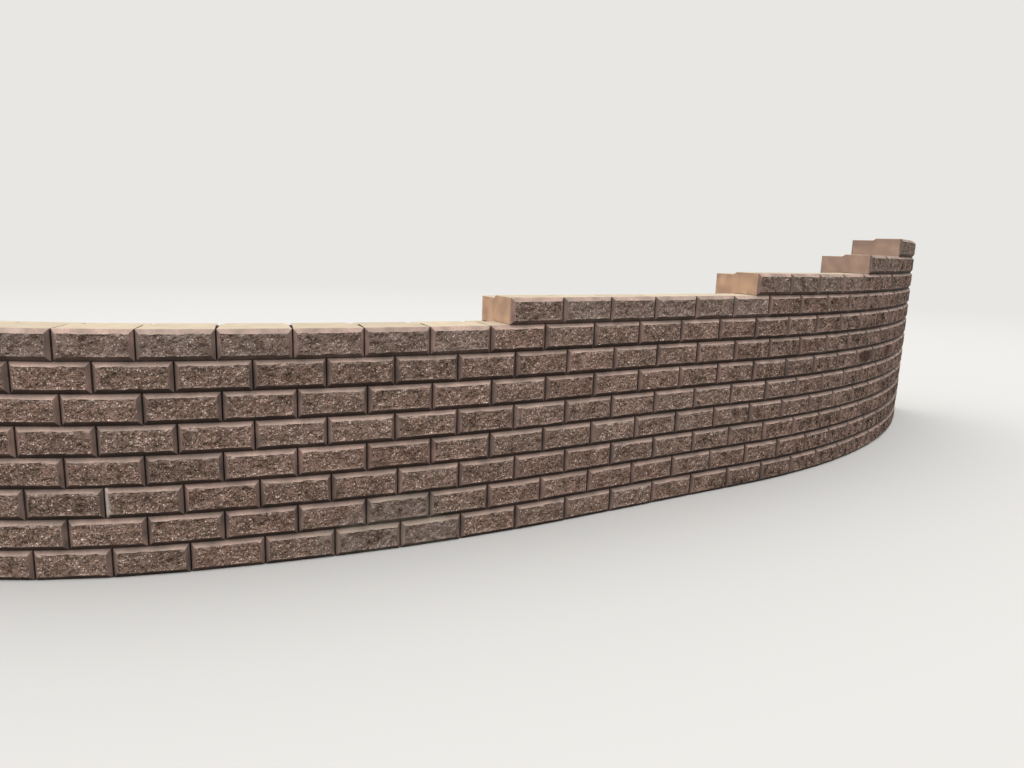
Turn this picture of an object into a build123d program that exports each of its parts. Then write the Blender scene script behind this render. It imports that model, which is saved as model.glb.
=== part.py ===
# Concrete block garden wall: dry-laid bevelled blocks in half bond on a curved plan.
# The left end is eight courses high, and the wall climbs in single-course steps to
# twelve courses at its right end. Millimetres, +Z up, the faces look towards -Y.
# The plan follows the joint line, the line at which the bevels of the faces end.

import os
from math import cos, degrees, radians, sin

from build123d import *

# Block sizes
course_height = 150.0
block_length = 341.0
joint_gap = 5.0
block_depth = 400.0
bevel_width = 21.0
face_proud = 20.0
raised_depth = 200.0
raised_height = 16.0
step_run = 25.0
rear_chamfer = 12.0
lug_side_clearance = 2.0
lug_lift = 2.0
rear_joint_gap = 7.0
shortest_cut = 110.0
same_length = 0.01

# Plan: the heading at the left end, then stretches as (length, radius). A radius
# bends towards the garden side, None is straight, and the last stretch runs on to
# the right end.
start_heading = -6.0
plan_stretches = [
    (1345.0, 3335.0),
    (2140.0, 8645.0),
    (1540.0, None),
    (3900.0, 6360.0),
]

# Laying: blocks in a full course, the first block of each course that starts at a
# step, and how far each course was laid off true half bond
blocks_per_course = 26
step_starts = {9: 9, 10: 14, 11: 19, 12: 21}
bond_shift = {
    1: 0.0,
    2: -10.0,
    3: -15.0,
    4: -5.0,
    5: -30.0,
    6: 0.0,
    7: -30.0,
    8: -15.0,
    9: -70.0,
    10: -30.0,
    11: -95.0,
    12: -180.0,
}

# Closing the right end: the share of its last space that the last block takes, where the
# space is too long for one block, in the even and in the odd courses. A space too short
# for a whole block is shared evenly with the block before it, so that the joints of two
# courses never stand in line.
last_share = (2 / 3, 1 / 3)

# Where the courses are parted into stretches, as numbers of blocks
left_stretch_end = 8
middle_stretch_end = 17

pitch = block_length + joint_gap
wall_length = blocks_per_course * pitch
course_count = max(bond_shift)
tightest_radius = min(radius for length, radius in plan_stretches if radius)
rear_narrowing = block_depth * pitch / tightest_radius + rear_joint_gap - joint_gap
rear_share = 1 - rear_narrowing / block_length
lug_start = raised_depth + pitch**2 / (8 * tightest_radius) + lug_side_clearance
lug_drop = raised_height - lug_lift
lug_run = step_run * lug_drop / raised_height

os.makedirs("parts", exist_ok=True)


def plan_point(run):
    """Point and heading of the joint line at a distance along it."""
    x = 0.0
    y = 0.0
    heading = radians(start_heading)
    rest = run
    for number, (length, radius) in enumerate(plan_stretches):
        is_last = number == len(plan_stretches) - 1
        step = rest if is_last else min(rest, length)
        if radius is None:
            x += step * cos(heading)
            y += step * sin(heading)
        else:
            turned = heading + step / radius
            x += radius * (sin(turned) - sin(heading))
            y += radius * (cos(heading) - cos(turned))
            heading = turned
        rest -= step
        if rest <= 0:
            break
    return x, y, heading


def course_joints(course):
    """Distances along the joint line of one course's upright joints, both ends included."""
    bond = bond_shift[course] + (pitch / 2 if course % 2 == 0 else 0.0)
    first = step_starts.get(course, 0)
    joints = [bond + number * pitch for number in range(first, blocks_per_course + 1)]
    joints = [joint for joint in joints if shortest_cut <= joint <= wall_length - shortest_cut]
    if course not in step_starts:
        joints.insert(0, 0.0)
    last_space = wall_length - joints[-1]
    if last_space > pitch + same_length:
        joints.append(wall_length - last_space * last_share[course % 2])
    elif last_space < pitch:
        joints[-1] = wall_length - (pitch + last_space) / 2
    joints.append(wall_length)
    return joints


def right_outline(length):
    """Right-hand corners of a block's plan, as (half width, depth), from the joint line back."""
    narrowing = length * (1 - rear_share) / 2
    side_end = block_depth - rear_chamfer
    return [
        (length / 2, 0.0),
        (length / 2 - narrowing * side_end / block_depth, side_end),
        (length / 2 - narrowing - rear_chamfer, block_depth),
    ]


def block_corners(start, finish):
    """Plan corners of the block that lies between two upright joints, its face included."""
    length = finish - start - joint_gap
    corners = right_outline(length) + [(length / 2 - bevel_width, -face_proud)]
    x, y, heading = plan_point((start + finish) / 2)
    for half, back in corners:
        for along in (-half, half):
            corner_x = x + along * cos(heading) - back * sin(heading)
            corner_y = y + along * sin(heading) + back * cos(heading)
            yield corner_x, corner_y


def plan_centre():
    """Middle of the plan's bounding box over every block of every course."""
    corners = []
    for course in bond_shift:
        joints = course_joints(course)
        for start, finish in zip(joints, joints[1:]):
            corners.extend(block_corners(start, finish))
    xs = [x for x, y in corners]
    ys = [y for x, y in corners]
    return (min(xs) + max(xs)) / 2, (min(ys) + max(ys)) / 2


centre_x, centre_y = plan_centre()


def place(course, middle):
    """Where a block stands: on its course, square to the joint line at its middle."""
    x, y, heading = plan_point(middle)
    level = (course - 1) * course_height
    return Location((x - centre_x, y - centre_y, level), (0, 0, degrees(heading)))


def make_block(length, has_lug):
    """One block: bevelled face, raised front half, tapered sides, rear chamfers and lug."""
    rear_top = course_height - raised_height
    section = [
        (0.0, 0.0),
        (0.0, course_height),
        (raised_depth, course_height),
        (raised_depth + step_run, rear_top),
        (block_depth, rear_top),
    ]
    if has_lug:
        section += [(block_depth, -lug_drop), (lug_start + lug_run, -lug_drop), (lug_start, 0.0)]
    else:
        section += [(block_depth, 0.0)]
    right_side = right_outline(length)
    left_side = [(-half, back) for half, back in reversed(right_side)]
    with BuildPart() as block:
        with BuildSketch(Plane.YZ):
            with BuildLine():
                Polyline(*section, close=True)
            make_face()
        extrude(amount=length, both=True)
        with BuildSketch(Plane.XY.offset(-course_height)):
            with BuildLine():
                Polyline(*right_side, *left_side, close=True)
            make_face()
        extrude(amount=3 * course_height, mode=Mode.INTERSECT)
        with BuildSketch(Plane.XZ):
            with Locations((0, course_height / 2)):
                Rectangle(length, course_height)
        with BuildSketch(Plane.XZ.offset(face_proud)):
            with Locations((0, course_height / 2)):
                Rectangle(length - 2 * bevel_width, course_height - 2 * bevel_width)
        loft()
    return block.part


def write(builder, label):
    """Label one finished piece and write it."""
    builder.part.label = label
    export_step(builder.part, f"parts/{label}.step")


# The courses of whole blocks, each in up to three stretches
whole_block = make_block(block_length, True)
base_block = make_block(block_length, False)
stretch_ends = {
    "left": left_stretch_end * pitch,
    "middle": middle_stretch_end * pitch,
    "right": wall_length,
}
cut_blocks = {
    "left_end_odd_courses": [],
    "left_end_even_courses": [],
    "right_end_odd_courses": [],
    "right_end_even_courses": [],
}
for course in range(1, course_count + 1):
    joints = course_joints(course)
    places = {side: [] for side in stretch_ends}
    for start, finish in zip(joints, joints[1:]):
        middle = (start + finish) / 2
        length = finish - start - joint_gap
        if abs(length - block_length) < same_length:
            side = next(side for side, limit in stretch_ends.items() if middle < limit)
            places[side].append(place(course, middle))
        else:
            end = "left" if start == 0 else "right"
            order = "even" if course % 2 == 0 else "odd"
            cut_blocks[f"{end}_end_{order}_courses"].append((course, middle, length))
    for side in stretch_ends:
        if places[side]:
            with BuildPart() as stretch:
                with Locations(*places[side]):
                    add(base_block if course == 1 else whole_block)
            write(stretch, f"course_{course:02d}_{side}")

# Blocks cut to length, which make the two ends plumb. Those of one node don't touch.
for label, cuts in cut_blocks.items():
    with BuildPart() as end_blocks:
        for course, middle, length in cuts:
            cut_block = make_block(length, course > 1)
            with Locations(place(course, middle)):
                add(cut_block)
    write(end_blocks, label)
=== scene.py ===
"""Looks of a dry-laid garden wall of concrete blocks with bevelled split faces.

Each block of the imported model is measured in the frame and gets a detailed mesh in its
place: a rough split face, chipped arrises, cast bevels, the raised front half, the sloped
step, the rear lug, and the sand that packs the upright joint beside it. Lengths are metres.
"""

import logging
import math
from dataclasses import dataclass, field
from enum import Enum

import bmesh
import bpy
import numpy as np
from mathutils import Matrix, Vector


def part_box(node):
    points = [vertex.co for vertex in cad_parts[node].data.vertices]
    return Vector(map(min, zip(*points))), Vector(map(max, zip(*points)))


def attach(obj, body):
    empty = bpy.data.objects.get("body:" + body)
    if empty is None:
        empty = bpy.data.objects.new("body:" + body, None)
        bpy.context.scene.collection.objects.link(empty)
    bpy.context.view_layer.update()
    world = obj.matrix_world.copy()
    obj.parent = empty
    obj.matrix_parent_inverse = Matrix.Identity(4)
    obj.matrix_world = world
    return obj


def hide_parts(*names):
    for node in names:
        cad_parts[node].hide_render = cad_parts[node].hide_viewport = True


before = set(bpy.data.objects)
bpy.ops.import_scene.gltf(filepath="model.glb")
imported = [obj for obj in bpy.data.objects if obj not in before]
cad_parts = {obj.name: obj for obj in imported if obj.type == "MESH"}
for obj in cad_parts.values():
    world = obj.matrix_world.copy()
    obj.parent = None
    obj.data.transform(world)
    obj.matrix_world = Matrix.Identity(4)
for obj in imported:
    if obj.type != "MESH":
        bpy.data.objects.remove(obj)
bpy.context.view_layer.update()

log = logging.getLogger("garden_wall")

Colour = tuple[float, float, float, float]


def tone(red: int, green: int, blue: int) -> Colour:
    """Give a colour, written as it shows on a screen from 0 to 255, as scene-linear values.

    Args:
        red: Screen value of red.
        green: Screen value of green.
        blue: Screen value of blue.

    Returns:
        The linear colour with full opacity.
    """
    shares = (value / 255 for value in (red, green, blue))
    linear = [share / 12.92 if share <= 0.04045 else ((share + 0.055) / 1.055) ** 2.4 for share in shares]
    return (linear[0], linear[1], linear[2], 1.0)


class Surface(Enum):
    """The finishes on one block, by the number of their material slot."""

    SPLIT = 0
    BEVEL = 1
    TOP = 2
    SIDE = 3
    PACKING = 4


class StainKind(Enum):
    """What a stain is, by the name of the number that the mesh holds for it."""

    LIME = "lime"
    DAMP = "damp"
    DUST = "dust"


@dataclass(frozen=True)
class Stain:
    """A stain on one block: its kind, the block, its middle and reach along and up, and its strength."""

    kind: StainKind
    course: int
    number: int
    middle: tuple[float, float]
    reach: tuple[float, float]
    strength: float


class Value:
    """A shader socket that takes part in Python expressions, adding one Math node a step."""

    def __init__(self, shader: "Shader", socket: bpy.types.NodeSocket) -> None:
        """Wrap a socket of a shader's node."""
        self.shader = shader
        self.socket = socket

    def math(self, operation: str, *operands: "Value | float", clamp: bool = False) -> "Value":
        """Add one Math node.

        Args:
            operation: Name of the node's operation.
            operands: Values or numbers, in the order of the node's sockets.
            clamp: Whether the result is kept between 0 and 1.

        Returns:
            The node's result.
        """
        settings = {"operation": operation, "use_clamp": clamp}
        return self.shader.node("ShaderNodeMath", settings, dict(enumerate(operands)))

    def __add__(self, other: "Value | float") -> "Value":
        """Add."""
        return self.math("ADD", self, other)

    def __radd__(self, other: float) -> "Value":
        """Add to a number."""
        return self.math("ADD", other, self)

    def __sub__(self, other: "Value | float") -> "Value":
        """Subtract."""
        return self.math("SUBTRACT", self, other)

    def __rsub__(self, other: float) -> "Value":
        """Subtract from a number."""
        return self.math("SUBTRACT", other, self)

    def __mul__(self, other: "Value | float") -> "Value":
        """Multiply."""
        return self.math("MULTIPLY", self, other)

    def __rmul__(self, other: float) -> "Value":
        """Multiply a number."""
        return self.math("MULTIPLY", other, self)

    def over(self, low: float, high: float) -> "Value":
        """Rise smoothly from 0 at the low value to 1 at the high value.

        Args:
            low: Where the result is 0.
            high: Where the result is 1. It may lie below the low value.

        Returns:
            The result, between 0 and 1.
        """
        settings = {"interpolation_type": "SMOOTHSTEP"}
        inputs = {"Value": self, "From Min": low, "From Max": high}
        return self.shader.node("ShaderNodeMapRange", settings, inputs)


class Shader:
    """The node tree of one material, built up by calls that return values."""

    def __init__(self, name: str) -> None:
        """Start an empty material."""
        self.material = bpy.data.materials.new(name)
        self.material.use_nodes = True
        self.tree = self.material.node_tree
        self.tree.nodes.clear()

    def add(self, kind: str, settings: dict, inputs: dict) -> bpy.types.Node:
        """Add a node, set what it is, and fill its sockets.

        Args:
            kind: The node's type.
            settings: The node's properties. Under "stops", a ramp's positions and colours.
            inputs: Values, sockets or numbers, by the name or number of the socket.

        Returns:
            The node.
        """
        node = self.tree.nodes.new(kind)
        for key, setting in settings.items():
            if key == "stops":
                self.set_stops(node.color_ramp, setting)
            else:
                setattr(node, key, setting)
        for key, given in inputs.items():
            if isinstance(given, Value):
                self.tree.links.new(given.socket, node.inputs[key])
            elif isinstance(given, bpy.types.NodeSocket):
                self.tree.links.new(given, node.inputs[key])
            else:
                node.inputs[key].default_value = given
        return node

    def set_stops(self, ramp: bpy.types.ColorRamp, stops: list[tuple[float, Colour]]) -> None:
        """Give a ramp its positions and colours.

        Args:
            ramp: The ramp of a node.
            stops: Positions from 0 to 1, with their colours.
        """
        while len(ramp.elements) < len(stops):
            ramp.elements.new(1.0)
        for element, (position, colour) in zip(ramp.elements, stops):
            element.position = position
            element.color = colour

    def node(self, kind: str, settings: dict, inputs: dict, output: int | str = 0) -> Value:
        """Add a node and take one of its outputs.

        Args:
            kind: The node's type.
            settings: The node's properties.
            inputs: What its sockets hold.
            output: Name or number of the output.

        Returns:
            The output.
        """
        return Value(self, self.add(kind, settings, inputs).outputs[output])

    def mark(self, name: str) -> Value:
        """Read a number that the mesh holds under a name."""
        return self.node("ShaderNodeAttribute", {"attribute_name": name}, {}, "Fac")

    def place(self) -> Value:
        """Give the point in the wall's own frame, in metres."""
        return self.node("ShaderNodeTexCoord", {}, {}, "Object")

    def noise(self, cell: float, detail: float = 2.0, roughness: float = 0.5) -> Value:
        """Give a noise between 0 and 1.

        Args:
            cell: Size of its patches in metres.
            detail: How many finer layers it has.
            roughness: How strong the finer layers are.

        Returns:
            The noise.
        """
        inputs = {"Vector": self.place(), "Scale": 1 / cell, "Detail": detail, "Roughness": roughness}
        return self.node("ShaderNodeTexNoise", {}, inputs, "Fac")

    def streaks(self, width: float, length: float) -> Value:
        """Give a noise between 0 and 1 that is drawn out upright.

        Args:
            width: Size of the streaks along the wall in metres.
            length: Their size upright in metres.

        Returns:
            The noise.
        """
        stretched = self.node(
            "ShaderNodeMapping", {}, {"Vector": self.place(), "Scale": (1 / width, 1 / width, 1 / length)}
        )
        return self.node("ShaderNodeTexNoise", {}, {"Vector": stretched, "Scale": 1.0, "Detail": 2.0}, "Fac")

    def grains(self, cell: float) -> bpy.types.Node:
        """Add a pattern of grains, each with its own colour and with the distance to its middle.

        Args:
            cell: Size of a grain in metres.

        Returns:
            The node, with the outputs Distance and Color.
        """
        return self.add("ShaderNodeTexVoronoi", {}, {"Vector": self.place(), "Scale": 1 / cell})

    def blend(self, share: Value | float, first: Value | Colour, second: Value | Colour) -> Value:
        """Mix two colours.

        Args:
            share: How much of the second there is.
            first: The colour at 0.
            second: The colour at 1.

        Returns:
            The mixed colour.
        """
        inputs = {0: share, 6: first, 7: second}
        return self.node("ShaderNodeMix", {"data_type": "RGBA"}, inputs, 2)

    def brighten(self, colour: Value, factor: Value) -> Value:
        """Multiply a colour by a number.

        Args:
            colour: The colour.
            factor: The number, 1 for no change.

        Returns:
            The brighter or darker colour.
        """
        return self.node("ShaderNodeVectorMath", {"operation": "SCALE"}, {0: colour, "Scale": factor})

    def finish(self, colour: Value, roughness: Value, height: Value, relief: float) -> bpy.types.Material:
        """Close the tree with a matt surface.

        Args:
            colour: Its colour.
            roughness: Its roughness.
            height: Height of its fine relief, from 0 to 1.
            relief: What a height of 1 is in metres.

        Returns:
            The material.
        """
        bump = self.node("ShaderNodeBump", {}, {"Strength": 1.0, "Distance": relief, "Height": height})
        inputs = {
            "Base Color": colour,
            "Roughness": roughness,
            "Normal": bump,
            "Specular IOR Level": 0.25,
        }
        surface = self.node("ShaderNodeBsdfPrincipled", {}, inputs)
        self.add("ShaderNodeOutputMaterial", {}, {"Surface": surface})
        return self.material


@dataclass(frozen=True)
class SplitFinish:
    """Broken concrete: a dark matrix with sand, and crushed grains in several colours."""

    name: str = "split_face"
    warm_matrix: Colour = tone(115, 92, 80)
    cool_matrix: Colour = tone(113, 94, 82)
    shade: Colour = tone(58, 40, 33)
    warm: Colour = tone(142, 114, 100)
    cool: Colour = tone(131, 111, 98)
    pale_grain: Colour = tone(196, 172, 154)
    pink_grain: Colour = tone(174, 140, 123)
    white_grain: Colour = tone(226, 208, 190)
    lime: Colour = tone(196, 190, 178)
    damp: Colour = tone(44, 28, 26)
    dust: Colour = tone(117, 108, 100)
    no_tint: Colour = (1.0, 1.0, 1.0, 1.0)
    hollow_tint: Colour = (1.12, 0.95, 0.78, 1.0)
    high_tint: Colour = (0.94, 1.0, 1.09, 1.0)
    dark_level: float = 0.035
    mid_level: float = 0.1
    light_level: float = 0.24
    coarse: float = 0.0092
    fine: float = 0.005
    patch: float = 0.07
    relief: float = 0.003

    def build(self) -> bpy.types.Material:
        """Build the material."""
        shader = Shader(self.name)
        patches = shader.noise(self.patch, 3.0)
        warmth = shader.mark("warmth") * 0.5 + patches
        colour = shader.blend(warmth.over(0.25, 0.9), self.cool, self.warm)
        clumps = shader.noise(self.patch * 0.3, 4.0, 0.6)
        matrix = shader.blend(warmth.over(0.25, 0.9), self.cool_matrix, self.warm_matrix)
        colour = shader.blend(clumps.over(0.4, 0.62), colour, matrix)
        coarse = shader.grains(self.coarse)
        fine = shader.grains(self.fine)
        pick = shader.node("ShaderNodeSeparateColor", {}, {"Color": coarse.outputs["Color"]})
        pick_two = shader.node("ShaderNodeSeparateColor", {}, {"Color": fine.outputs["Color"]})
        core = Value(shader, coarse.outputs["Distance"]).over(0.62, 0.3)
        core_two = Value(shader, fine.outputs["Distance"]).over(0.65, 0.3)
        colour = shader.blend(pick_two.over(0.42, 0.05) * 0.8, colour, self.shade)
        colour = shader.blend(pick.over(0.26, 0.12) * core * 0.85, colour, self.shade)
        colour = shader.blend(pick_two.over(0.72, 0.9) * core_two * 0.75, colour, self.pink_grain)
        colour = shader.blend(pick.over(0.84, 0.9) * core * 0.8, colour, self.pale_grain)
        colour = shader.blend(pick_two.over(0.955, 0.975) * core_two, colour, self.white_grain)
        # Pale rim of the split face along its arrises: partly wear, partly a painted highlight where the arris
        # catches the light.
        rim = shader.mark("wear").over(0.1, 1.0) * shader.noise(0.025, 3.0).over(0.4, 0.6)
        colour = shader.blend(rim * 0.6, colour, self.pale_grain)
        colour = shader.blend(shader.mark("lime") * patches.over(0.3, 0.6), colour, self.lime)
        film = shader.mark("dust") + shader.mark("film")
        colour = shader.blend(film * patches, colour, self.dust)
        colour = shader.blend(shader.mark("damp") * 0.8, colour, self.damp)
        # Painted shade: the shade mark darkens the split faces towards the right end and strengthens their
        # mottle there.
        mottle = ((clumps - 0.5) * 2.7 + (patches - 0.5) * 1.7) * (shader.mark("shade") * 0.4 + 0.9)
        look = shader.mark("tone") * 0.2 - shader.mark("shade") * 0.36
        colour = shader.brighten(colour, look + mottle + 0.93)
        level = shader.node("ShaderNodeRGBToBW", {}, {"Color": colour})
        tint = shader.blend(level.over(self.mid_level, self.dark_level), self.no_tint, self.hollow_tint)
        tint = shader.blend(level.over(self.mid_level, self.light_level), tint, self.high_tint)
        colour = shader.node("ShaderNodeVectorMath", {"operation": "MULTIPLY"}, {0: colour, 1: tint})
        height = pick * core * 0.6 + shader.noise(0.004, 3.0, 0.7) * 0.8
        return shader.finish(colour, patches * 0.1 + 0.85, height, self.relief)


@dataclass(frozen=True)
class CastFinish:
    """Concrete that took the smooth face of the mould, weathered in the open, with painted light and painted
    shade laid on it.
    """

    name: str
    base: Colour
    warm: Colour
    bleached_and_lit: Colour
    grime: Colour
    grime_share: float = 0.5
    worn_and_highlight: Colour = tone(196, 172, 154)
    # Colour of the painted shade.
    soil: Colour = tone(32, 22, 17)
    lime: Colour = tone(204, 190, 178)
    damp: Colour = tone(50, 34, 31)
    dust: Colour = tone(122, 118, 105)
    patch: float = 0.08
    warm_share: float = 0.45
    mottle: float = 0.3
    streak_share: float = 0.12
    relief: float = 0.0009

    def build(self) -> bpy.types.Material:
        """Build the material."""
        shader = Shader(self.name)
        patches = shader.noise(self.patch, 3.0)
        speckle = shader.noise(0.004, 2.0, 0.6)
        warmth = shader.mark("warmth") * self.warm_share + patches
        colour = shader.blend(warmth.over(0.2, 0.95), self.base, self.warm)
        # Faces open to the sky get the bleached colour. On the front part of the sides this paler colour is
        # painted light.
        colour = shader.blend(shader.mark("sky") * (0.5 + patches * 0.6), colour, self.bleached_and_lit)
        share = self.streak_share
        stains = shader.noise(self.patch * 0.5, 4.0, 0.6) * (1 - share) + shader.streaks(0.012, 0.12) * share
        covered = 1.0 - shader.mark("sky") * 0.7
        colour = shader.blend(stains.over(0.42, 0.72) * covered * self.grime_share, colour, self.grime)
        # Pale arris along the face: partly wear, partly a painted highlight.
        edge = shader.mark("wear").over(0.5, 1.0) * shader.noise(0.03, 3.0).over(0.42, 0.62)
        colour = shader.blend(edge * 0.6, colour, self.worn_and_highlight)
        # Painted shade: dark colour on the bottom bevels, on the side bevels and in the groove of the bed
        # joints, where shade falls.
        colour = shader.blend(shader.mark("soil").over(0.1, 0.9) * 0.85, colour, self.soil)
        colour = shader.blend(shader.mark("lime") * patches.over(0.2, 0.5), colour, self.lime)
        colour = shader.blend(shader.mark("dust") * patches, colour, self.dust)
        colour = shader.blend(shader.mark("damp") * 0.8, colour, self.damp)
        mottle = (speckle - 0.5) * 0.3 + (patches - 0.5) * self.mottle
        # Painted shade: towards the right end the shade mark darkens the painted-shade parts further.
        look = shader.mark("tone") * 0.18 - shader.mark("shade") * shader.mark("soil") * 0.35
        colour = shader.brighten(colour, mottle + look + 1.0)
        height = speckle * 0.7 + patches * 0.6
        return shader.finish(colour, speckle * 0.15 + 0.75, height, self.relief)


@dataclass(frozen=True)
class PackingFinish:
    """Damp sand and soil that fill an upright joint."""

    name: str = "joint_packing"
    base: Colour = tone(20, 15, 12)
    grain: Colour = tone(46, 35, 28)
    relief: float = 0.002

    def build(self) -> bpy.types.Material:
        """Build the material."""
        shader = Shader(self.name)
        sand = shader.noise(0.005, 3.0, 0.7)
        colour = shader.blend(sand.over(0.45, 0.75), self.base, self.grain)
        return shader.finish(colour, sand * 0.1 + 0.88, sand, self.relief)


def lattice_value(corner: np.ndarray, seed: int) -> np.ndarray:
    """Give each whole-numbered point its own random value.

    Args:
        corner: Whole-numbered points, one a row.
        seed: Number of the random set.

    Returns:
        Values between -1 and 1.
    """
    key = corner[:, 0] * 73856093 ^ corner[:, 1] * 19349663 ^ corner[:, 2] * 83492791
    key = (key + seed * 668265263) & 0x7FFFFFFF
    key = ((key ^ (key >> 13)) * 1274126177) & 0x7FFFFFFF
    key = ((key ^ (key >> 15)) * 40503) & 0x7FFFFFFF
    return ((key >> 7) & 0xFFFF) / 32767.5 - 1.0


def lattice_noise(points: np.ndarray, cell: float, seed: int) -> np.ndarray:
    """Give a smooth noise.

    Args:
        points: Points in metres, one a row.
        cell: Size of its patches in metres.
        seed: Number of the random set.

    Returns:
        Values between -1 and 1.
    """
    scaled = points / cell
    corner = np.floor(scaled).astype(np.int64)
    share = scaled - corner
    share = share * share * (3 - 2 * share)
    total = np.zeros(len(points))
    for step in np.ndindex(2, 2, 2):
        weight = np.prod(np.where(step, share, 1 - share), axis=1)
        total += weight * lattice_value(corner + step, seed)
    return total


@dataclass(frozen=True)
class Block:
    """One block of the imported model, as the frame measures it."""

    middle: Vector
    heading: float
    length: float
    base: float
    height: float
    proud: float
    bevel: float
    depth: float
    high_line: list[tuple[float, float]]
    low_line: list[tuple[float, float]]
    side_line: list[tuple[float, float]]

    @property
    def course(self) -> int:
        """Number of the block's course, from 1 at the foot."""
        return round(self.base / self.height) + 1

    def local(self, point: Vector) -> Vector:
        """Give a point as along the face, back from the joint line, and up from the bed."""
        away = Matrix.Rotation(-self.heading, 3, "Z") @ (point - self.middle)
        return Vector((away.x, away.y, point.z - self.base))

    def world(self, points: np.ndarray) -> np.ndarray:
        """Give local points, one a row, in the wall's frame."""
        turn = np.array(Matrix.Rotation(self.heading, 3, "Z"))
        return points @ turn.T + np.array((self.middle.x, self.middle.y, self.base))

    @classmethod
    def measured(cls, corners: list[Vector], height: float) -> "Block":
        """Measure a block.

        Args:
            corners: Every corner of its solid.
            height: Height of a course.

        Returns:
            The block.
        """
        top = max(corner.z for corner in corners)
        crown = [corner for corner in corners if corner.z > top - TOUCH]
        centre = sum(crown, Vector()) / len(crown)
        crown.sort(key=lambda corner: math.atan2(corner.y - centre.y, corner.x - centre.x))
        edges = [(crown[i], crown[(i + 1) % 4] - crown[i]) for i in range(4)]
        pairs = [(edges[0], edges[2]), (edges[1], edges[3])]
        level = min(pairs, key=lambda pair: pair[0][1].normalized().cross(pair[1][1].normalized()).length)
        start, along = max(level, key=lambda edge: edge[1].length)
        block = cls(
            middle=start + along / 2,
            heading=math.atan2(along.y, along.x),
            length=along.length,
            base=top - height,
            height=height,
            proud=0.0,
            bevel=0.0,
            depth=0.0,
            high_line=[],
            low_line=[],
            side_line=[],
        )
        return block.with_profile([block.local(corner) for corner in corners])

    def with_profile(self, corners: list[Vector]) -> "Block":
        """Measure the block's sections.

        Args:
            corners: Every corner of its solid, in local values.

        Returns:
            The block with its face, its tops, its undersides and its sides.
        """
        front = min(corner.y for corner in corners)
        back = max(corner.y for corner in corners)
        face = [corner for corner in corners if corner.y < front + TOUCH]
        body = [corner for corner in corners if corner.y > -TOUCH]
        depths = sorted({round(corner.y, 4) for corner in body})
        high, low, side = [], [], []
        for depth in depths:
            ring = [corner for corner in body if abs(corner.y - depth) < TOUCH]
            depth = min(corner.y for corner in ring)
            highest = max(corner.z for corner in ring)
            lowest = min(corner.z for corner in ring)
            if highest > self.height / 2:
                high.append((depth, highest))
            if lowest < self.height / 2:
                low.append((depth, lowest))
            side.append((depth, max(corner.x for corner in ring)))
        return Block(
            middle=self.middle,
            heading=self.heading,
            length=self.length,
            base=self.base,
            height=self.height,
            proud=-front,
            bevel=min(corner.z for corner in face),
            depth=back,
            high_line=high,
            low_line=low,
            side_line=side,
        )


TOUCH = 0.0002
WELD = 0.00002


def measured_blocks(node: bpy.types.Object, height: float) -> list[Block]:
    """Measure every block of one node.

    Args:
        node: The node's object in the frame.
        height: Height of a course.

    Returns:
        Its blocks.
    """
    solid = bmesh.new()
    solid.from_mesh(node.data)
    bmesh.ops.remove_doubles(solid, verts=solid.verts, dist=WELD)
    waiting = set(solid.verts)
    blocks = []
    while waiting:
        reached = [waiting.pop()]
        for corner in reached:
            linked = {edge.other_vert(corner) for edge in corner.link_edges} & waiting
            waiting -= linked
            reached.extend(linked)
        blocks.append(Block.measured([corner.co.copy() for corner in reached], height))
    solid.free()
    return blocks


@dataclass
class Weather:
    """How one block has weathered, and the painted shade it gets: its own tone, and marks that show in the
    photograph.
    """

    tone: float = 0.0
    warmth: float = 0.0
    # Painted shade towards the right end.
    shade: float = 0.0
    film: float = 0.0
    sky_to: float = -math.inf
    bare_ends: tuple[bool, bool] = (False, False)
    # Scale of the painted shade on the bevels.
    painted_shade_scale: float = 1.0
    stains: tuple[Stain, ...] = ()

    def stain(self, points: np.ndarray) -> dict[str, np.ndarray]:
        """Give how strong each kind of stain is.

        Args:
            points: Local points, one a row.

        Returns:
            A number from 0 to 1 for each point, by the kind's name.
        """
        marks = {kind.value: np.zeros(len(points)) for kind in StainKind}
        for stain in self.stains:
            away = (points[:, (0, 2)] - stain.middle) / stain.reach
            share = stain.strength * np.clip(1.6 - (away**2).sum(axis=1), 0.0, 1.0)
            marks[stain.kind.value] = np.maximum(marks[stain.kind.value], share)
        return marks


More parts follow.
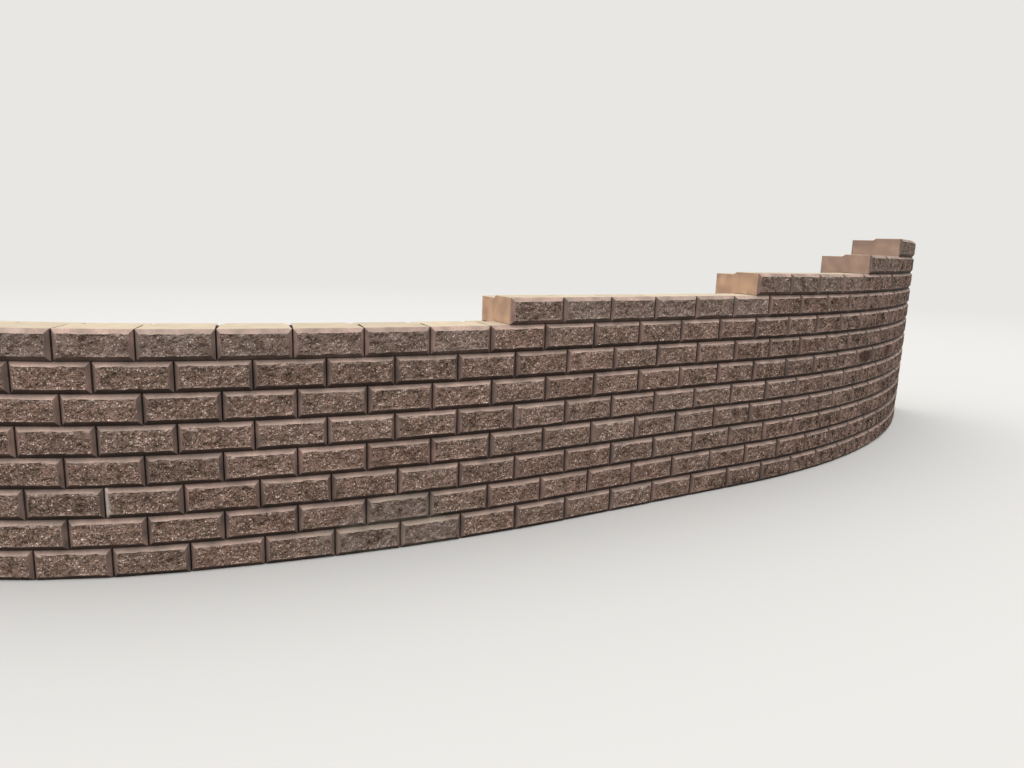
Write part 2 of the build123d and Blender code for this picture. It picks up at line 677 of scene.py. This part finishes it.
@dataclass
class Skin:
    """Points, faces and weathering of one piece, gathered block by block."""

    points: list[np.ndarray] = field(default_factory=list)
    marks: dict[str, list[np.ndarray]] = field(default_factory=dict)
    faces: list[list[int]] = field(default_factory=list)
    surfaces: list[int] = field(default_factory=list)
    sky: list[np.ndarray] = field(default_factory=list)
    weathers: list["Weather"] = field(default_factory=list)
    weather: "Weather" = field(default_factory=lambda: Weather())
    count: int = 0

    def add_points(
        self,
        points: np.ndarray,
        block: "Block",
        wear: np.ndarray | float = 0.0,
        soil: np.ndarray | float = 0.0,
    ) -> np.ndarray:
        """Add points of one block, with the stains of the present weathering.

        Args:
            points: Local points, one a row.
            block: The block.
            wear: How worn and pale they are, from 0 to 1; near the arrises this is partly a painted highlight.
            soil: How much painted shade darkens them, from 0 to 1.

        Returns:
            The numbers of the points in the piece.
        """
        self.points.append(block.world(points))
        marks = {"wear": wear, "soil": soil, **self.weather.stain(points)}
        for name, mark in marks.items():
            self.marks.setdefault(name, []).append(np.broadcast_to(mark, len(points)))
        first = self.count
        self.count += len(points)
        return np.arange(first, self.count)

    def add_faces(
        self, faces: np.ndarray | list[list[int]], surface: Surface, sky: np.ndarray | float = 0.0
    ) -> None:
        """Add faces of one finish, weathered as the piece's present block is.

        Args:
            faces: Numbers of their points, each seen from outside against the clock.
            surface: Their finish.
            sky: How open they lie to the sky, from 0 to 1, which bleaches them; on the front part of a block's
                sides it is painted light.
        """
        made = faces.tolist() if isinstance(faces, np.ndarray) else faces
        self.faces.extend(made)
        self.surfaces.extend([surface.value] * len(made))
        self.sky.append(np.broadcast_to(sky, len(made)))
        self.weathers.extend([self.weather] * len(made))

    def mesh(self, name: str, materials: list[bpy.types.Material]) -> bpy.types.Object:
        """Make the piece.

        Args:
            name: Its name.
            materials: The finishes, in the order of Surface.

        Returns:
            The object.
        """
        data = bpy.data.meshes.new(name)
        data.from_pydata(np.concatenate(self.points).tolist(), [], self.faces)
        for material in materials:
            data.materials.append(material)
        data.polygons.foreach_set("material_index", self.surfaces)
        marks = {(mark, "POINT"): np.concatenate(values) for mark, values in self.marks.items()}
        marks[("sky", "FACE")] = np.concatenate(self.sky)
        for mark in ("tone", "warmth", "shade", "film"):
            marks[(mark, "FACE")] = np.array([getattr(weather, mark) for weather in self.weathers])
        for (mark, domain), values in marks.items():
            attribute = data.attributes.new(mark, "FLOAT", domain)
            attribute.data.foreach_set("value", values.astype(np.float32))
        data.update()
        piece = bpy.data.objects.new(name, data)
        bpy.context.scene.collection.objects.link(piece)
        return piece


@dataclass
class BlockMason:
    """Shapes one block: face grid, arrises, bevels and body."""

    cell: float = 0.0066
    mean_recess: float = 0.0036
    roughness: float = 0.0078
    chip: float = 0.0018
    wave: float = 0.0065
    rim_in: tuple[float, float] = (0.006, 0.004)
    # By side (bottom, right, top, left): a pale rim that is partly wear and partly a painted highlight, and
    # painted shade on the rim, the bevels and the outer edge.
    rim_wear_and_highlight: tuple[float, float, float, float] = (0.45, 0.3, 0.8, 0.3)
    rim_painted_shade: tuple[float, float, float, float] = (0.5, 0.35, 0.0, 0.2)
    bevel_painted_shade: tuple[float, float, float, float] = (0.75, 0.43, 0.38, 0.38)
    edge_painted_shade: tuple[float, float, float, float] = (0.95, 0.44, 0.62, 0.6)
    inner_wear_and_highlight: tuple[float, float] = (0.2, 0.5)
    bare_wear: float = 0.85
    crown_wear: float = 0.25
    arris_round: float = 0.0018
    edge_start: float = 0.002
    first_station: float = 0.012
    edge_cut: float = 0.0025
    rear_cut: float = 0.004
    foot_edges: tuple[int, int] = (0, 3)
    depth_jitter: float = 0.003
    bevel_rows: tuple[float, ...] = (0.5,)
    bevel_sky: float = 0.6
    # Painted light: the front part of each side, up to this depth, gets a share of the paler colour.
    painted_light_depth: float = 0.21
    painted_light_share: float = 0.15
    seed: int = 11

    def face_relief(self, points: np.ndarray, number: int) -> np.ndarray:
        """Give how far the split face lies behind its outermost plane.

        Args:
            points: Local points, one a row.
            number: The block's number, which picks its own relief.

        Returns:
            Depths in metres, none below zero.
        """
        seed = self.seed + 17 * number
        broad = lattice_noise(points, 0.055, seed)
        middle = lattice_noise(points, 0.021, seed + 1)
        fine = lattice_noise(points, 0.0105, seed + 2)
        ridges = 1.0 - 2.0 * np.abs(lattice_noise(points, 0.03, seed + 3))
        relief = 0.3 * broad + 0.45 * middle + 0.4 * fine + 0.18 * ridges
        return np.maximum(self.mean_recess + self.roughness * relief, 0.0)

    def build(self, skin: Skin, block: Block, number: int, weather: Weather) -> None:
        """Add one block to a piece.

        Args:
            skin: The piece's points and faces.
            block: The block.
            number: Its number in the wall.
            weather: How it has weathered.
        """
        half, bevel, height = block.length / 2, block.bevel, block.height
        foot, head = bevel + self.rim_in[0], height - bevel - self.rim_in[1]
        columns = max(4, round((block.length - 2 * bevel) / self.cell))
        rows = round((head - foot) / self.cell)
        rng = np.random.default_rng(self.seed * 1000 + number)
        set_back = rng.uniform(0, self.depth_jitter)
        grid_x, grid_z = np.meshgrid(
            np.linspace(bevel - half, half - bevel, columns + 1),
            np.linspace(foot, head, rows + 1),
        )
        flat = np.stack([grid_x.ravel(), np.full(grid_x.size, -block.proud), grid_z.ravel()], axis=1)
        recess = self.face_relief(flat, number)
        grid = np.arange(grid_x.size).reshape(rows + 1, columns + 1)
        loop = np.concatenate([grid[0, :-1], grid[:-1, -1], grid[-1, :0:-1], grid[:0:-1, 0]])
        is_edge = np.zeros(grid_x.size, bool)
        is_edge[loop] = True
        chips = self.chip * (1.0 + lattice_noise(flat, 0.017, self.seed + 17 * number + 5))
        chips += self.wave * np.maximum(lattice_noise(flat, 0.05, self.seed + 17 * number + 6), 0.0)
        recess[is_edge] = chips[is_edge]
        inner = flat[loop]
        outer = inner * (half / (half - bevel), 0.0, 1.0)
        outer[:, 2] = (inner[:, 2] - foot) * (height / (head - foot))
        points = flat.copy()
        points[:, 1] += recess
        slope = (recess[loop] / block.proud)[:, None]
        points[loop] = inner + (outer - inner) * slope
        points[:, 1] += set_back * (1 - points[:, 1] / block.depth)

        sides = (columns, rows, columns, rows)
        left, right = weather.bare_ends
        bare = np.repeat((False, right, False, left), sides)
        # Round the face: a pale rim, partly wear and partly a painted highlight, and painted shade. Bare ends
        # keep a pale rim and no painted shade.
        wear = np.zeros(len(points))
        soil = np.zeros(len(points))
        wear[loop] = np.where(bare, self.bare_wear, np.repeat(self.rim_wear_and_highlight, sides))
        soil[loop] = np.where(bare, 0.0, np.repeat(self.rim_painted_shade, sides))
        wear[grid[1, 1:-1]] = self.inner_wear_and_highlight[0]
        wear[grid[-2, 1:-1]] = self.inner_wear_and_highlight[1]
        skin.weather = weather
        face_ids = skin.add_points(points, block, wear, soil)
        ids = face_ids[grid]
        quads = np.stack([ids[:-1, :-1], ids[:-1, 1:], ids[1:, 1:], ids[1:, :-1]], axis=-1).reshape(-1, 4)
        skin.add_faces(quads, Surface.SPLIT)

        is_top = np.zeros(len(loop), bool)
        is_top[columns + rows : 2 * columns + rows] = True
        open_above = is_top & (inner[:, 0] <= weather.sky_to)
        sky = np.where(is_top, self.bevel_sky, 0.0)
        ring = face_ids[loop]
        crown = np.logical_or(open_above, np.roll(open_above, 1))
        # Painted shade on the bevels, darkest on the bottom bevel. It is left off the crown and the bare ends,
        # and it is weaker on crown blocks.
        without_painted_shade = crown | bare
        bevel_painted_shade = np.where(without_painted_shade, 0.0, np.repeat(self.bevel_painted_shade, sides)) * weather.painted_shade_scale
        rings = [(share, 0.0, bevel_painted_shade) for share in self.bevel_rows]
        edge_wear = np.where(crown, self.crown_wear, 0.0)
        edge_painted_shade = np.where(without_painted_shade, 0.0, np.repeat(self.edge_painted_shade, sides)) * weather.painted_shade_scale
        rings.append((1 - self.arris_round / bevel, edge_wear, edge_painted_shade))
        for share, worn_and_highlight, painted_shade_share in rings:
            line = inner + (outer - inner) * share
            line[:, 1] += set_back + 0.0004 * lattice_noise(line, 0.02, self.seed + number)
            ring = self.next_ring(skin, ring, line, block, (worn_and_highlight, painted_shade_share), sky)
        edge = outer.copy()
        edge[:, 1] = self.edge_start + set_back
        # The outer edge, in the groove of the bed joint, gets full painted shade.
        painted_shade_share = np.where(without_painted_shade, 0.0, 1.0)
        ring = self.next_ring(skin, ring, edge, block, (0.0, painted_shade_share), sky)
        self.build_body(skin, block, ring, (columns, rows), set_back)

    def next_ring(
        self,
        skin: Skin,
        ring: np.ndarray,
        line: np.ndarray,
        block: Block,
        marks: tuple[np.ndarray | float, np.ndarray | float],
        sky: np.ndarray,
    ) -> np.ndarray:
        """Add a closed row of points round the face, and the faces between it and the last row.

        Args:
            skin: The piece's points and faces.
            ring: Numbers of the last row's points.
            line: The new row's points, in local values.
            block: The block.
            marks: How worn and highlighted, and how darkened by painted shade, the new row is.
            sky: How open each of the faces lies to the sky.

        Returns:
            Numbers of the new row's points.
        """
        ids = skin.add_points(line, block, *marks)
        faces = np.stack([ids, np.roll(ids, -1), np.roll(ring, -1), ring], axis=-1)
        skin.add_faces(faces, Surface.BEVEL, sky)
        return ids

    def build_body(
        self, skin: Skin, block: Block, ring: np.ndarray, cells: tuple[int, int], set_back: float
    ) -> None:
        """Add the body behind the bevels: eight-cornered sections from front to back.

        Args:
            skin: The piece's points and faces.
            block: The block.
            ring: Numbers of the points round its front edge.
            cells: How many cells its face has along and up.
            set_back: How far its front is set back.
        """
        lines = (block.high_line, block.low_line, block.side_line)
        depths = {self.first_station, block.depth - self.rear_cut}
        depths |= {depth for line in lines for depth, reach in line if depth > TOUCH}
        finishes = [Surface.SIDE, Surface.SIDE, Surface.TOP, Surface.SIDE]
        corners = np.cumsum([0, cells[0], cells[1], cells[0]])
        sides = [np.roll(ring, -start)[: count + 1].tolist() for start, count in zip(corners, (*cells, *cells))]
        last = None
        for depth in sorted(depths):
            back = depth + set_back * (1 - depth / block.depth)
            high, low = (np.interp(depth, *zip(*line)) for line in lines[:2])
            wide = np.interp(back, *zip(*block.side_line))
            cut = self.edge_cut
            if depth > block.depth - self.rear_cut / 2:
                high, low, wide = high - self.rear_cut, low + self.rear_cut, wide - self.rear_cut
            outline = [
                (cut - wide, low),
                (wide - cut, low),
                (wide, low + cut),
                (wide, high - cut),
                (wide - cut, high),
                (cut - wide, high),
                (-wide, high - cut),
                (-wide, low + cut),
            ]
            points = np.array([(along, back, up) for along, up in outline])
            ids = skin.add_points(points, block).tolist()
            for side, finish in enumerate(finishes):
                start, end, after = ids[2 * side], ids[2 * side + 1], ids[(2 * side + 2) % 8]
                if last is None:
                    made = [[start, end, *reversed(sides[side])], [end, after, sides[side][-1]]]
                else:
                    front = (last[2 * side], last[2 * side + 1], last[(2 * side + 2) % 8])
                    made = [[start, end, front[1], front[0]], [end, after, front[2], front[1]]]
                # Tops get the full sky mark. The front part of a side gets a little of it as painted light.
                lit = 1.0 if finish is Surface.TOP else self.painted_light_share * (back < self.painted_light_depth)
                is_foot = side == 0 and depth > block.depth - TOUCH
                skin.add_faces(made[:1], Surface.PACKING if is_foot else finish, lit)
                skin.add_faces(made[1:], Surface.PACKING if side in self.foot_edges else finish, lit)
            last = ids
        skin.add_faces([last[::-1]], Surface.SIDE)


@dataclass
class JointPacking:
    """Sand that fills an upright joint behind the faces, so that no light shows through."""

    front: float = 0.010
    back: float = 0.16
    bite: float = 0.0015

    def build(self, skin: Skin, block: Block, neighbour: Block) -> None:
        """Fill the joint at a block's right end.

        Args:
            skin: The piece's points and faces.
            block: The block.
            neighbour: The next block of its course.
        """
        corners = []
        for depth in (self.front, self.back):
            side = float(np.interp(depth, *zip(*block.side_line))) - self.bite
            far = float(np.interp(depth, *zip(*neighbour.side_line))) - self.bite
            far_corner = Vector(neighbour.world(np.array([(-far, depth, 0.0)]))[0])
            corners.append([(side, depth, self.bite), (*block.local(far_corner).xy, self.bite)])
        foot = np.array([*corners[0], *corners[1][::-1]])
        head = foot + (0.0, 0.0, block.height - 2 * self.bite)
        ids = skin.add_points(np.concatenate([foot, head]), block).tolist()
        low, high = ids[:4], ids[4:]
        walls = [[low[i], low[(i + 1) % 4], high[(i + 1) % 4], high[i]] for i in range(4)]
        skin.add_faces([low[::-1], high, *walls], Surface.PACKING)


@dataclass
class GardenWall:
    """The whole wall: every block of every course, in one piece for each node of the frame."""

    mason: BlockMason = field(default_factory=BlockMason)
    packing: JointPacking = field(default_factory=JointPacking)
    first_node: str = "course_01_left"
    seed: int = 5
    # Painted shade grows from nothing to full along this run of the wall.
    shade_run: tuple[float, float] = (0.0, 2.8)
    crown_film: tuple[float, float] = (0.45, -0.15)
    # Crown blocks, open above, get less painted shade: on their bevels by this scale, and on their faces by
    # crown_shade.
    crown_painted_shade_scale: float = 0.65
    crown_shade: float = 0.3
    crown_tones: dict[int, float] = field(default_factory=lambda: {8: 0.1, 9: 0.6, 10: 0.2})
    course_tones: dict[int, float] = field(default_factory=lambda: {2: -0.25, 3: -0.25, 5: 0.3, 7: -0.1})
    stains: tuple[Stain, ...] = (
        Stain(StainKind.LIME, 3, 3, (-0.162, 0.080), (0.011, 0.072), 0.65),
        Stain(StainKind.LIME, 8, 2, (0.010, 0.142), (0.050, 0.010), 0.15),
        Stain(StainKind.DAMP, 6, 19, (0.010, 0.080), (0.130, 0.050), 1.0),
        Stain(StainKind.DAMP, 6, 21, (-0.080, 0.075), (0.100, 0.055), 0.9),
        Stain(StainKind.DUST, 1, 5, (0.140, 0.080), (0.090, 0.080), 0.5),
        Stain(StainKind.DUST, 1, 6, (0.000, 0.080), (0.200, 0.080), 0.8),
        Stain(StainKind.DUST, 1, 7, (0.000, 0.080), (0.200, 0.080), 0.8),
        Stain(StainKind.DUST, 2, 6, (0.110, 0.030), (0.090, 0.060), 0.6),
        Stain(StainKind.DUST, 2, 7, (0.000, 0.060), (0.190, 0.100), 0.8),
        Stain(StainKind.DUST, 2, 8, (-0.150, 0.060), (0.050, 0.080), 0.5),
    )
    end_looks: dict[int, tuple[float, float]] = field(
        default_factory=lambda: {9: (0.0, 0.5), 10: (-0.3, 0.5), 11: (-0.4, -0.6), 12: (-0.5, -0.6)}
    )
    blocks: dict[str, list[Block]] = field(default_factory=dict)
    courses: dict[int, list[Block]] = field(default_factory=dict)

    def measure(self) -> None:
        """Read every block from the frame and sort the courses from left to right."""
        low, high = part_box(self.first_node)
        height = high.z - low.z
        for name in sorted(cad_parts):
            self.blocks[name] = measured_blocks(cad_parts[name], height)
            for block in self.blocks[name]:
                self.courses.setdefault(block.course, []).append(block)
        for course in self.courses.values():
            course.sort(key=lambda block: block.middle.x)

    def finishes(self) -> list[bpy.types.Material]:
        """Build the finishes in the order of Surface."""
        bevel = CastFinish(
            name="cast_bevel",
            base=tone(115, 101, 93),
            warm=tone(154, 124, 113),
            bleached_and_lit=tone(163, 143, 131),
            grime=tone(70, 56, 48),
            grime_share=0.65,
            warm_share=0.3,
            mottle=1.0,
            streak_share=0.4,
        )
        top = CastFinish(
            name="weathered_top",
            base=tone(150, 132, 114),
            warm=tone(160, 134, 112),
            bleached_and_lit=tone(166, 154, 132),
            grime=tone(100, 89, 76),
        )
        side = CastFinish(
            name="cast_side",
            base=tone(153, 128, 115),
            warm=tone(190, 154, 127),
            bleached_and_lit=tone(186, 156, 128),
            grime=tone(118, 98, 82),
            mottle=0.8,
            streak_share=0.2,
        )
        made = [SplitFinish(), bevel, top, side, PackingFinish()]
        return [finish.build() for finish in made]

    def shade(self, block: Block) -> float:
        """Give how much painted shade darkens a block towards the right end, from 0 to 1."""
        low, high = self.shade_run
        return min(1.0, max(0.0, (block.middle.x - low) / (high - low)))

    def weather(self, block: Block, rng: np.random.Generator) -> Weather:
        """Give a block its weathering.

        Args:
            block: The block.
            rng: Random numbers of the wall.

        Returns:
            The weathering.
        """
        weather = Weather(tone=float(rng.normal(0, 0.28)), warmth=float(rng.uniform(-0.35, 0.5)))
        row = self.courses[block.course]
        weather.bare_ends = (block is row[0], block is row[-1])
        weather.tone += self.course_tones.get(block.course, 0.0)
        weather.tone = max(-1.0, min(1.0, weather.tone))
        # Painted shade towards the right end.
        weather.shade = self.shade(block)
        weather.sky_to = block.length
        if block is self.courses[block.course][0]:
            weather.tone, weather.warmth = self.end_looks.get(block.course, (weather.tone, weather.warmth))
        number = self.courses[block.course].index(block)
        weather.stains = tuple(
            stain for stain in self.stains if (stain.course, stain.number) == (block.course, number)
        )
        above = self.courses.get(block.course + 1)
        if above:
            start = above[0]
            edge = Vector(start.world(np.array([(-start.length / 2, 0.0, 0.0)]))[0])
            weather.sky_to = block.local(edge).x
        if weather.sky_to > 0.0:
            weather.film, cooling = self.crown_film
            # Crown blocks get less painted shade.
            weather.painted_shade_scale = self.crown_painted_shade_scale
            weather.shade *= self.crown_shade
            if block is not row[0]:
                weather.warmth += cooling
                weather.tone += self.crown_tones.get(block.course, 0.0)
        return weather

    def build(self) -> None:
        """Build and dress every piece."""
        materials = self.finishes()
        rng = np.random.default_rng(self.seed)
        numbers = {}
        weathers = {}
        for course in sorted(self.courses):
            for block in self.courses[course]:
                numbers[id(block)] = len(numbers)
                weathers[id(block)] = self.weather(block, rng)
        triangles = 0
        for name, blocks in self.blocks.items():
            skin = Skin()
            for block in blocks:
                self.mason.build(skin, block, numbers[id(block)], weathers[id(block)])
                course = self.courses[block.course]
                place = course.index(block)
                if place + 1 < len(course):
                    self.packing.build(skin, block, course[place + 1])
            piece = skin.mesh(f"{name}_blocks", materials)
            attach(piece, "root")
            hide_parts(name)
            made = sum(len(face) - 2 for face in skin.faces)
            triangles += made
            log.info("%s: %d blocks, %d triangles", piece.name, len(blocks), made)
        log.info("the wall: %d triangles", triangles)


@dataclass
class Studio:
    """Floor, sky and lamps: plain, pale and soft, with nothing of the object."""

    floor_reach: float = 60.0
    fade_from: float = 9.0
    fade_to: float = 26.0
    pale: Colour = tone(232, 231, 228)
    laid: Colour = tone(170, 169, 167)
    bounce: Colour = tone(44, 42, 40)
    zenith: float = 2.3
    horizon: float = 0.4
    key_strength: float = 1.3
    key_angle: float = math.radians(45)
    key_from: tuple[float, float, float] = (-0.05, -0.8, 0.9)

    def build(self) -> None:
        """Build the floor, the world and the lamp."""
        self.build_floor()
        self.build_world()
        self.build_key()
        log.info("studio: floor, world and one lamp")

    def build_floor(self) -> None:
        """Lay the floor at the wall's foot, fading into the background far away."""
        reach = self.floor_reach
        data = bpy.data.meshes.new("studio_floor")
        corners = [(-reach, -reach, 0.0), (reach, -reach, 0.0), (reach, reach, 0.0), (-reach, reach, 0.0)]
        data.from_pydata(corners, [], [(0, 1, 2, 3)])
        floor = bpy.data.objects.new("studio_floor", data)
        bpy.context.scene.collection.objects.link(floor)
        shader = Shader("studio_floor")
        seen = self.seen(shader)
        colour = shader.blend(seen, self.bounce, self.laid)
        matt = shader.node("ShaderNodeBsdfDiffuse", {}, {"Color": colour})
        glow = shader.node("ShaderNodeEmission", {}, {"Color": self.pale, "Strength": 1.0})
        away = shader.node("ShaderNodeVectorMath", {"operation": "LENGTH"}, {0: shader.place()}, "Value")
        share = away.over(self.fade_from, self.fade_to) * seen
        mixed = shader.node("ShaderNodeMixShader", {}, {0: share, 1: matt, 2: glow})
        shader.add("ShaderNodeOutputMaterial", {}, {"Surface": mixed})
        data.materials.append(shader.material)

    def seen(self, shader: Shader) -> Value:
        """Give 1 for what the camera, a reflection or a glass sees, and 0 for what lights things."""
        path = shader.add("ShaderNodeLightPath", {}, {})
        rays = [Value(shader, path.outputs[f"Is {kind} Ray"]) for kind in ("Camera", "Glossy", "Transmission")]
        return rays[0].math("MAXIMUM", rays[0].math("MAXIMUM", rays[0], rays[1]), rays[2])

    def build_world(self) -> None:
        """Light the scene from a soft sky that is brighter overhead."""
        world = bpy.data.worlds.new("studio_sky")
        bpy.context.scene.world = world
        world.use_nodes = True
        shader = Shader("studio_sky_nodes")
        shader.tree = world.node_tree
        shader.tree.nodes.clear()
        bpy.data.materials.remove(shader.material)
        way = shader.node("ShaderNodeTexCoord", {}, {}, "Generated")
        up = shader.node("ShaderNodeSeparateXYZ", {}, {0: way}, "Z")
        level = up.over(-0.1, 0.9) * (self.zenith - self.horizon) + self.horizon
        light = shader.node("ShaderNodeBackground", {}, {"Color": (1.0, 0.99, 0.98, 1.0), "Strength": level})
        backdrop = shader.node("ShaderNodeBackground", {}, {"Color": self.pale, "Strength": 1.0})
        mixed = shader.node("ShaderNodeMixShader", {}, {0: self.seen(shader), 1: light, 2: backdrop})
        shader.add("ShaderNodeOutputWorld", {}, {"Surface": mixed})

    def build_key(self) -> None:
        """Hang one wide soft lamp on the left, in front and above."""
        lamp = bpy.data.lights.new("key_lamp", "SUN")
        lamp.energy = self.key_strength
        lamp.angle = self.key_angle
        holder = bpy.data.objects.new("key_lamp", lamp)
        holder.rotation_mode = "QUATERNION"
        holder.rotation_quaternion = Vector(self.key_from).to_track_quat("Z", "Y")
        bpy.context.scene.collection.objects.link(holder)


@dataclass
class PhotoCamera:
    """The camera where the photograph was taken."""

    place: tuple[float, float, float] = (-0.664, -5.637, 1.614)
    pitch_down: float = math.radians(10.56)
    roll: float = math.radians(1.798)
    focal_pixels: float = 727.204
    image_width: float = 1024.0
    sensor_width: float = 36.0

    def build(self) -> None:
        """Make the camera and use it."""
        data = bpy.data.cameras.new("photo_camera")
        data.sensor_width = self.sensor_width
        data.lens = self.focal_pixels / self.image_width * self.sensor_width
        camera = bpy.data.objects.new("photo_camera", data)
        ahead = Vector((0.0, math.cos(self.pitch_down), -math.sin(self.pitch_down)))
        upright = Vector((0.0, math.sin(self.pitch_down), math.cos(self.pitch_down)))
        right = Vector((1.0, 0.0, 0.0))
        turned_right = right * math.cos(self.roll) + upright * math.sin(self.roll)
        turned_up = upright * math.cos(self.roll) - right * math.sin(self.roll)
        axes = Matrix((turned_right, turned_up, -ahead)).transposed()
        camera.matrix_world = Matrix.Translation(self.place) @ axes.to_4x4()
        bpy.context.scene.collection.objects.link(camera)
        bpy.context.scene.camera = camera
        log.info("camera: lens %.2f mm", data.lens)


def main() -> None:
    """Build the wall, the studio and the camera."""
    logging.basicConfig(level=logging.INFO, format="%(name)s: %(message)s")
    bpy.context.scene.view_settings.view_transform = "Standard"
    wall = GardenWall()
    wall.measure()
    wall.build()
    Studio().build()
    PhotoCamera().build()


if __name__ == "__main__":
    main()
